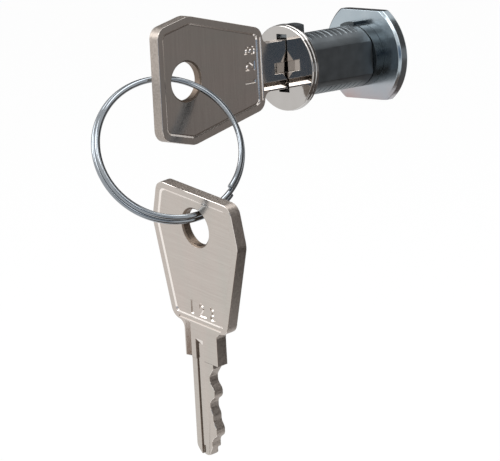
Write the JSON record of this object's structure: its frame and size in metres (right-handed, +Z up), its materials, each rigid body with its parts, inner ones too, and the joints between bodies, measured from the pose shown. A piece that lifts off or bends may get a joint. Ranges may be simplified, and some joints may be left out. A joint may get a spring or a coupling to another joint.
{
  "type": "cylinder door lock",
  "caption": "Small wafer cylinder lock with round head, flatted barrel and rear locking disc, one key in it and a spare key on a split ring",
  "frame": {"origin": "on the lock's axis, at the rear face of the head's flange that seats on the door", "axes": "+Y along the lock's axis from the key to the locking disc, +Z up, +X to the right seen from the front"},
  "size_m": [0.0348, 0.0806, 0.0915],
  "materials": {
    "dark_zinc": "satin dark zinc casting",
    "polished_steel": "mirror polished",
    "black_steel": "blackened, satin",
    "bright_zinc": "bright blue zinc plating",
    "brass": "plain",
    "steel": "zinc plated",
    "key_nickel": "nickel plated, lightly worn",
    "ring_steel": "bright steel wire"
  },
  "bodies": {
    "lock_body": {"lock_housing": "dark_zinc"},
    "turning_plug": {"face_plate": "polished_steel", "plug": "brass", "wafer_1": "brass", "wafer_2": "brass", "wafer_3": "brass", "wafer_4": "brass", "wafer_5": "brass", "wafer_6": "brass", "wafer_spring_1": "steel", "wafer_spring_2": "steel", "wafer_spring_3": "steel", "wafer_spring_4": "steel", "wafer_spring_5": "steel", "wafer_spring_6": "steel", "stop_washer": "black_steel", "locking_disc": "bright_zinc", "spring_washer": "steel", "tail_screw": "steel"},
    "key": {"key_in_lock": "key_nickel"},
    "ring": {"key_ring": "ring_steel"},
    "hanging_key": {"spare_key": "key_nickel"}
  },
  "joints": [
    {"name": "plug_turn", "type": "hinge", "parent": "lock_body", "child": "turning_plug", "pos_m": [0, 0, 0], "axis": [0, -1, 0], "range_deg": [0, 90]},
    {"name": "key_withdraw", "type": "slide", "parent": "turning_plug", "child": "key", "axis": [0, -1, 0], "range_m": [0, 0.024]},
    {"name": "ring_swing", "type": "hinge", "parent": "key", "child": "ring", "pos_m": [0, -0.0302, 0.0009], "axis": [1, 0, 0], "range_deg": [-30, 30]},
    {"name": "spare_key_swing", "type": "hinge", "parent": "ring", "child": "hanging_key", "pos_m": [0.01089, -0.03805, -0.02524], "axis": [-0.0779, -0.9851, -0.1534], "range_deg": [-20, 20]}
  ]
}
